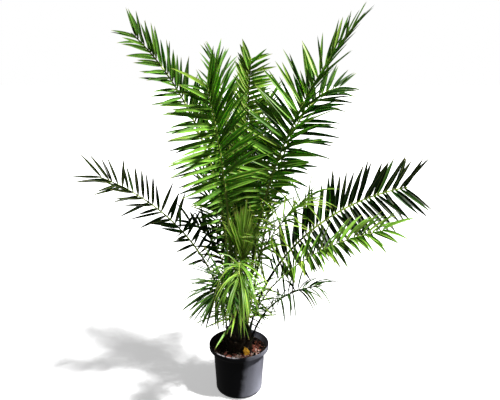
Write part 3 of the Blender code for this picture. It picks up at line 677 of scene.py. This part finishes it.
def rib_at(frond, share):
    """(point, along, across, above) of the rib at an array of shares of its length.

    The rib is the sum of many short steps whose rise turns from rise to tip_rise as share ** bend. The
    blade then rolls about it, from begins at the first leaflet to ends at the tip.
    """
    middle = (np.arange(RIB_STEPS) + 0.5) / RIB_STEPS
    rise = np.radians(frond.rise + (frond.tip_rise - frond.rise) * middle**frond.bend)[:, None]
    out, across = level(np.radians(frond.heading)), -level(np.radians(frond.heading) + np.pi / 2)
    step = out * np.cos(rise) + UP * np.sin(rise)
    foot = out * (trunk_radius(frond.foot) + rib_size(frond, 0)[1] + RIB_EASE) + UP * frond.foot
    path = np.vstack([foot, foot + np.cumsum(step * frond.length / RIB_STEPS, axis=0)])
    shares = np.linspace(0, 1, RIB_STEPS + 1)

    def place(where):
        return np.stack([np.interp(where, shares, path[:, k]) for k in range(3)], axis=-1)

    along = unit(place(np.clip(share + 0.01, 0, 1)) - place(np.clip(share - 0.01, 0, 1)))
    above = np.cross(across, along)
    ease = np.minimum(1, share / frond.bare)
    blade = np.maximum(0, (share - frond.bare) / (1 - frond.bare))
    begins, ends = frond.roll
    roll = np.radians(begins * ease**2 * (3 - 2 * ease) + (ends - begins) * blade)[..., None]
    rolled = across * np.cos(roll) + above * np.sin(roll)
    return place(share), along, rolled, np.cross(rolled, along)


def palm_rib(name, foot_colour, colour):
    """Palm rib: hard, smooth and waxy, with fibres that show as fine streaks along it, about 1 mm apart.
    Its foot is painted darker, as painted shade, and the pale streaks fade out there."""
    made, tree, shader = finish_named(name)
    uv = add(tree, "UVMap", uv_map="surface").outputs[0]
    streak = noise(tree, stretched(tree, uv, 0.001, 0.040, 1), 1.0, 3)
    # 0 at the foot, which is painted dark as painted shade, and 1 further along
    lower = ramp(tree, mark(tree, "share"), *DARK_TO_PALE)
    pale = all_of(tree, ramp(tree, streak, 0.45, 0.8, 0.0, 0.5), lower)
    feed(tree, shader, {
        "Base Color": blend(tree, pale, blend(tree, lower, foot_colour, colour), "#b9c46a"),
        "Roughness": 0.38,
        "Normal": bumps(tree, streak, 0.3, 0.0005),
    })
    return made


rib_shares = np.linspace(0, 1, RIB_STATIONS)
rib_turns = all_round(RIB_CORNERS)
rib_ring = circle(rib_turns) * np.where(np.sin(rib_turns) > 0, 0.55, 1.0)[:, None] ** (0, 1)
rib_shapes = []
frond_nodes = []
for frond in FRONDS:
    point, along, across, above = rib_at(frond, rib_shares)
    wide, deep = (half * frond.stout for half in rib_size(frond, rib_shares))
    sides, ups = -across * wide[:, None], above * deep[:, None]
    rib = swept(point[None], sides[None], ups[None], rib_ring, ends=point[-1:] + along[-1:] * RIB_POINT)
    marks = rib[4]  # the frond's own shares of dark and pale become those that the finish looks for
    marks[:, 0] = np.interp(marks[:, 0], [0, *frond.dark, 1.01], [0, *DARK_TO_PALE, 1])
    rib_shapes.append(rib)
    names = [f"frond_{frond.name}{part}" for part in ("", "_lower", "_upper")]
    frond_nodes += [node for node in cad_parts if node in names]
# the near-black foot colour is painted shade from the heart of the crown; by the fronds' own shares it
# covers most of right_foot's rib and half of right_low's
rib_finish = palm_rib("waxy_rib", "#0d1409", "#a4bb52")
piece("frond_ribs", joined(rib_shapes), rib_finish, frond_nodes)

# ------------------------------------------------------------------------------------------------
# The sheaths: a frond's foot is a broad, thin shield that clasps the bulb and the frond inside it. It
# is green above, where the rib leaves it, and dries to brown at its lower end; both are painted almost
# black, as painted shade.

SHEATH_BELOW, SHEATH_ABOVE, SHEATH_HALF_WIDTH = 0.055, 0.075, 0.024
SHEATH_THICK, SHEATH_EASE = 0.0022, 0.0028
SHEATH_STATIONS, SHEATH_CORNERS = 16, 14
ON_BULB = 0.45  # share of the sheath that lies on the bulb, before it climbs the rib

sheath_share = np.linspace(0, 1, SHEATH_STATIONS)
climb = np.clip((sheath_share - ON_BULB) / (1 - ON_BULB), 0, 1)
ring = circle(all_round(SHEATH_CORNERS))
sheath_shapes = []
for frond in FRONDS:
    out, side = level(np.radians(frond.heading)), level(np.radians(frond.heading) + np.pi / 2)
    low = max(frond.foot - SHEATH_BELOW, SOIL_TOP + 0.004)
    heights = low + (frond.foot - low) * np.clip(sheath_share / ON_BULB, 0, 1)
    on_bulb = out * (trunk_radius(heights) + SHEATH_EASE)[:, None] + UP * heights[:, None]
    on_rib = rib_at(frond, climb * SHEATH_ABOVE / frond.length)[0]
    path = np.where((climb > 0)[:, None], on_rib, on_bulb)
    wide_rib, deep_rib = rib_size(frond, climb * SHEATH_ABOVE / frond.length)
    wide = wide_rib * 1.04 + (SHEATH_HALF_WIDTH - wide_rib) * (1 - sheath_share) ** 1.3
    deep = SHEATH_THICK + (deep_rib * 1.04 - SHEATH_THICK) * sheath_share**0.7
    hug = wide**2 / (2 * trunk_radius(heights)) / deep * (1 - climb)
    clasp = ring[:, 1] + hug[:, None] * ring[:, 0] ** 2
    clasping = np.stack([np.tile(ring[:, 0], (SHEATH_STATIONS, 1)), clasp], axis=-1)
    sides, ups = side * wide[:, None], -out * deep[:, None]
    sheath_shapes.append(swept(path[None], sides[None], ups[None], clasping))
# painted shade: near-black brown at the sheath's foot and near-black green above
sheath_finish = palm_rib("clasping_sheath", "#0c0906", "#151d0c")
piece("frond_sheaths", joined(sheath_shapes), sheath_finish)

# ------------------------------------------------------------------------------------------------
# The spines: towards its foot a frond's leaflets shorten into stiff, sharp spines that stand out in
# two loose rows, yellow-green and hard as wood.

SPINE_PITCH, SPINE_LENGTHS, SPINE_HALF_WIDTH = 0.016, (0.012, 0.055), 0.0017
SPINE_SHARES = (0.30, 0.97)  # of the bare part of the rib
SPINE_STATIONS = np.array([0, 0.3, 0.7, 0.97])
SPINE_TAPER = np.array([1.0, 0.8, 0.4, 0.06])

thick = (SPINE_HALF_WIDTH * SPINE_TAPER)[None, :, None]
three_sided = circle(np.radians([90, 210, 330]))
spine_shapes = []
for frond in FRONDS:
    count = round(frond.length * frond.bare * 0.72 / SPINE_PITCH)
    shares = np.repeat(frond.bare * np.linspace(*SPINE_SHARES, count), 2) + dice.normal(0, 0.004, 2 * count)
    sides = np.tile([1.0, -1.0], count)[:, None]
    point, along, across, above = rib_at(frond, shares)
    wide, _ = rib_size(frond, shares)
    opening = np.radians(dice.normal(50, 11, 2 * count))[:, None]
    lift = np.radians(dice.normal(22, 16, 2 * count))[:, None]
    aside = across * sides * np.cos(lift) + above * np.sin(lift)
    way = along * np.cos(opening) + aside * np.sin(opening)
    length = np.interp(shares / frond.bare, [0.3, 1], SPINE_LENGTHS) * dice.uniform(0.7, 1.25, 2 * count)
    root = point + across * sides * (wide * 0.7)[:, None]
    centres = root[:, None] + way[:, None] * (length[:, None] * SPINE_STATIONS)[..., None]
    flat = unit(np.cross(above, way))
    ends = root + way * length[:, None]
    spine_shapes.append(
        swept(centres, flat[:, None] * thick, np.cross(way, flat)[:, None] * thick, three_sided, ends=ends)
    )
spine_finish = palm_rib("hard_spine", "#4f7a2a", "#9fb54c")
piece("petiole_spines", joined(spine_shapes), spine_finish)

# ------------------------------------------------------------------------------------------------
# The leaflets: stiff, pointed blades folded along the middle like a gutter, set in two rows with the
# fold's open side up. Their greens go from the yellow-green of the youngest fronds to the blackish
# green of the oldest, which is partly painted shade, and are dealt out frond by frond, some leaflets
# taking their neighbours' green.
# A hundred thin strays stand out all round between the fronds' feet, just above the bulb.

TINTS = (
    ("spring_green", "#89ae3f"),
    ("fresh_green", "#6a9731"),
    ("leaf_green", "#4b7725"),
    ("deep_green", "#294c19"),
    # an old frond's dark green, made near black as painted shade
    ("shaded_black_green", "#101d09"),
)
LEAFLET_PITCH = 0.56  # of the solid fronds' pitch, because the blades here are narrower
FEWEST_ROWS = 16
LEAFLET_HALF_WIDTH, LEAFLET_THICK = 0.0098, 0.0007
BLADE_STATIONS = np.array([0, 0.05, 0.14, 0.28, 0.45, 0.63, 0.80, 0.93])
OTHER_GREEN = 0.22  # share of the leaflets that take the next green, up or down
GROUP, GROUP_PULL, GROUP_FAN = 2, 0.20, 4.5  # leaflets leave the rib in groups, which fan out a little
OPENING_JITTER, LIFT_JITTER = 5.2, 11.0
STRAYS, STRAY_HEIGHTS, STRAY_LENGTHS = 110, (0.35, 0.53), (0.10, 0.22)
STRAY_ROOT = 0.030  # how far from the plant's axis a stray begins, out of sight among the ribs


def leaflet_length(frond, place):
    """Short where the blade begins, full length from a third on, and shorter again to the tip."""
    longest, last = frond.leaflet
    young = 0.30 + 0.70 * np.sin(np.pi / 2 * np.minimum(1, place / 0.32))
    return young * (longest + (last - longest) * np.maximum(0, (place - 0.4) / 0.6) ** 1.5)


def blades(root, reach, above, length, broad, hang, twist, chance):
    """Leaflets: each runs from its root along reach, pulled down by hang towards its tip. Across it a
    blade is a V of two halves, deep at the foot and flatter out along it, and it narrows to a point."""
    t = BLADE_STATIONS
    down = -UP * hang[:, None]
    ways = unit(reach[:, None] + down[:, None] * t[None, :, None])
    centres = root[:, None] + ways * (length[:, None] * t)[..., None]
    tips = root + unit(reach + down) * length[:, None]
    side = unit(np.cross(above, reach))
    up = np.cross(reach, side)
    turn = (twist[:, None] * (0.3 + 0.7 * t))[..., None]
    sides = side[:, None] * np.cos(turn) + up[:, None] * np.sin(turn)
    ups = up[:, None] * np.cos(turn) - side[:, None] * np.sin(turn)
    outline = np.interp(t, [0, 0.12, 0.30, 0.55, 0.80, 1], [0.62, 0.92, 1.0, 0.86, 0.48, 0.04])
    full = broad * LEAFLET_HALF_WIDTH * np.interp(length, [0.05, 0.2], [0.55, 1.0])
    half_width = full[:, None] * outline
    fold = np.radians(np.interp(t, [0, 0.15, 0.5, 1], [62, 40, 26, 30]))
    edge, lift = np.cos(fold) * np.ones_like(half_width), np.sin(fold) * np.ones_like(half_width)
    keel, thick = np.zeros_like(half_width), LEAFLET_THICK / 2 / half_width
    corners = [(edge, lift), (keel, thick), (-edge, lift), (keel, -thick)]
    ring = np.stack([np.stack(corner, axis=-1) for corner in corners], axis=2)
    sides, ups = sides * half_width[..., None], ups * half_width[..., None]
    return swept(centres, sides, ups, ring, ends=tips, chance=chance)


def palm_leaflet(name, green):
    """Palm leaflet: a tough blade with a waxy gloss. Fine veins run along it, drawn here 1.6 mm apart,
    its keel and its root are paler, and its very tip is dry."""
    made, tree, shader = finish_named(name)
    uv = add(tree, "UVMap", uv_map="surface").outputs[0]
    across, along, _ = add(tree, "SeparateXYZ", {0: uv}).outputs
    place = add(tree, "TexCoord").outputs["Object"]
    shade = maths(tree, "ADD", mark(tree, "chance"), noise(tree, place, 0.035, 3))
    bright = ramp(tree, shade, 0.55, 1.45, 0.60, 1.45)
    colour = add(tree, "HueSaturation", {"Value": bright, "Color": linear(green)}).outputs[0]
    keel = ramp(tree, maths(tree, "ABSOLUTE", across), 0.0, 0.0011, 0.35, 0.0)
    root = ramp(tree, along, 0.002, 0.014, 0.45, 0.0)
    colour = blend(tree, maths(tree, "MAXIMUM", keel, root), colour, "#afc163")
    dry = ramp(tree, mark(tree, "share"), 0.93, 1.0, 0.0, 0.4)
    vein = noise(tree, stretched(tree, uv, 0.0016, 0.060, 1), 1.0)
    feed(tree, shader, {
        "Base Color": blend(tree, dry, colour, "#9c8a4c"),
        "Roughness": 0.42,
        "Normal": bumps(tree, vein, 0.35, 0.0004),
        "Specular IOR Level": 0.22,
        "Subsurface Weight": 0.4,
        "Subsurface Radius": (0.35, 1.0, 0.1),
        "Subsurface Scale": 0.002,
    })
    return made


def deal(green, given):
    """Makes leaflets out of what is given for each, and puts them with the others of their green."""
    for tint in np.unique(green):
        these = green == tint
        dealt[int(tint)].append(blades(*(values[these] for values in given)))


dealt = {tint: [] for tint in range(len(TINTS))}
for frond in FRONDS:
    blade_length = frond.length * (1 - frond.bare)
    rows = max(FEWEST_ROWS, round(blade_length / (frond.pitch * LEAFLET_PITCH)))
    row = np.repeat(np.arange(rows), 2)
    side = np.tile([1.0, -1.0], rows)
    count = 2 * rows
    place = row / (rows - 1)
    inner = row % GROUP - (GROUP - 1) / 2  # place in its group, which stands closer than the groups do
    shifted = row + 0.4 - GROUP_PULL * inner + dice.normal(0, 0.10, count)
    share = np.clip(frond.bare + (1 - frond.bare) * shifted / rows, 0, 0.995)
    point, along, across, above = rib_at(frond, share)
    begins, ends = frond.spread
    fanned = GROUP_FAN * inner + dice.normal(0, OPENING_JITTER * frond.loose, count)
    uneven = frond.skew[0] + (frond.skew[1] - frond.skew[0]) * place
    opening = begins + (ends - begins) * place**frond.closes + uneven * side + fanned
    opening = np.radians(opening)[:, None]
    lift = np.radians(frond.lift + dice.normal(0, LIFT_JITTER * frond.loose, count))[:, None]
    aside = across * side[:, None] * np.cos(lift) + above * np.sin(lift)
    reach = along * np.cos(opening) + aside * np.sin(opening)
    length = leaflet_length(frond, place) * dice.uniform(0.84, 1.05, count)
    faces = above + UP * frond.turn
    hang = frond.hang * dice.uniform(0.7, 1.3, count) + 0.03
    root = point + across * side[:, None] * (rib_size(frond, share)[0] * 0.75)[:, None]
    twist = np.radians(dice.normal(0, 14, count))
    chance = dice.uniform(0, 1, count)
    broad = frond.broad * dice.uniform(0.85, 1.15, count)
    other = np.where(dice.uniform(0, 1, count) < OTHER_GREEN, dice.integers(0, 2, count) * 2 - 1, 0)
    green = np.clip(frond.tint + other, 0, len(TINTS) - 1)
    deal(green, (root, reach, faces, length, broad, hang, twist, chance))

# the strays, which have outlived their fronds
number = np.arange(STRAYS)
turn = np.radians(number * GOLDEN_TURN)
rise = np.radians(np.clip(dice.normal(6, 16, STRAYS), -14, 50))
reach = level(turn) * np.cos(rise)[:, None] + UP * np.sin(rise)[:, None]
root = reach * (STRAY_ROOT, STRAY_ROOT, 0) + UP * dice.uniform(*STRAY_HEIGHTS, (STRAYS, 1))
faces = np.tile(UP, (STRAYS, 1))
length = dice.uniform(*STRAY_LENGTHS, STRAYS)
broad = dice.uniform(0.50, 0.85, STRAYS)
hang = dice.uniform(0.0, 0.30, STRAYS)
twist = np.radians(dice.normal(0, 30, STRAYS))
chance = dice.uniform(0, 1, STRAYS)
deal(number % (len(TINTS) - 1), (root, reach, faces, length, broad, hang, twist, chance))

for tint, shapes in dealt.items():
    tint_name, green = TINTS[tint]
    finish = palm_leaflet(f"leaflet_{tint_name}", green)
    piece(f"leaflets_{tint_name}", joined(shapes), finish)

# ------------------------------------------------------------------------------------------------
# The studio: a light table of opal acrylic, faintly lit from below, in a white surround, with one key
# light high on the right and a little in front. The surround is bright to look at and dim as a fill
# light, so the inside of the crown stays deep. The table takes shadows and throws no light back up.

FLOOR_SIDE, FLOOR_GLOW = 60.0, 0.45
KEY_HEADING, KEY_HEIGHT, KEY_STRENGTH, KEY_SOFTNESS = -24, 58, 8.0, 5
FILL, BACKGROUND = 0.10, 1.0

floor_mesh = bpy.data.meshes.new("floor")
corners = [(x, y, 0) for x, y in ((-1, -1), (1, -1), (1, 1), (-1, 1))]
floor_mesh.from_pydata(np.array(corners) * FLOOR_SIDE / 2, [], [(0, 1, 2, 3)])
floor = bpy.data.objects.new("floor", floor_mesh)
bpy.context.scene.collection.objects.link(floor)
floor_finish, floor_tree, floor_shader = finish_named("opal_acrylic")
feed(floor_tree, floor_shader, {
    "Base Color": linear("#f5f5f5"),
    "Roughness": 0.9,
    "Emission Color": linear("#ffffff"),
    "Emission Strength": FLOOR_GLOW,
})
floor_mesh.materials.append(floor_finish)
floor.visible_diffuse = False
floor.visible_glossy = False

surround = bpy.data.worlds.new("surround")
surround.use_nodes = True
sky = surround.node_tree
fill = sky.nodes["Background"]
feed(sky, fill, {"Color": linear("#ffffff"), "Strength": FILL})
seen = add(sky, "Background", {"Color": linear("#ffffff"), "Strength": BACKGROUND})
to_camera = add(sky, "LightPath").outputs["Is Camera Ray"]
either = add(sky, "MixShader", {0: to_camera, 1: fill.outputs[0], 2: seen.outputs[0]})
feed(sky, sky.nodes["World Output"], {"Surface": either.outputs[0]})
bpy.context.scene.world = surround

key = bpy.data.lights.new("key", "SUN")
key.energy, key.angle = KEY_STRENGTH, math.radians(KEY_SOFTNESS)
key_object = bpy.data.objects.new("key", key)
key_object.rotation_euler = (0, math.radians(90 - KEY_HEIGHT), math.radians(KEY_HEADING))
bpy.context.scene.collection.objects.link(key_object)
bpy.context.scene.view_settings.view_transform = "Standard"

# ------------------------------------------------------------------------------------------------
# The camera: at a standing person's eye height, looking a little down.

CAMERA_AT, LOOKING_DOWN = (0.052, -2.3, 1.53), 14.6
SENSOR_WIDTH, FOCAL_LENGTH = 36, 38.95  # in millimetres

lens = bpy.data.cameras.new("camera")
lens.sensor_width, lens.lens = SENSOR_WIDTH, FOCAL_LENGTH
camera = bpy.data.objects.new("camera", lens)
camera.location = CAMERA_AT
camera.rotation_euler = (math.radians(90 - LOOKING_DOWN), 0, 0)
bpy.context.scene.collection.objects.link(camera)
bpy.context.scene.camera = camera
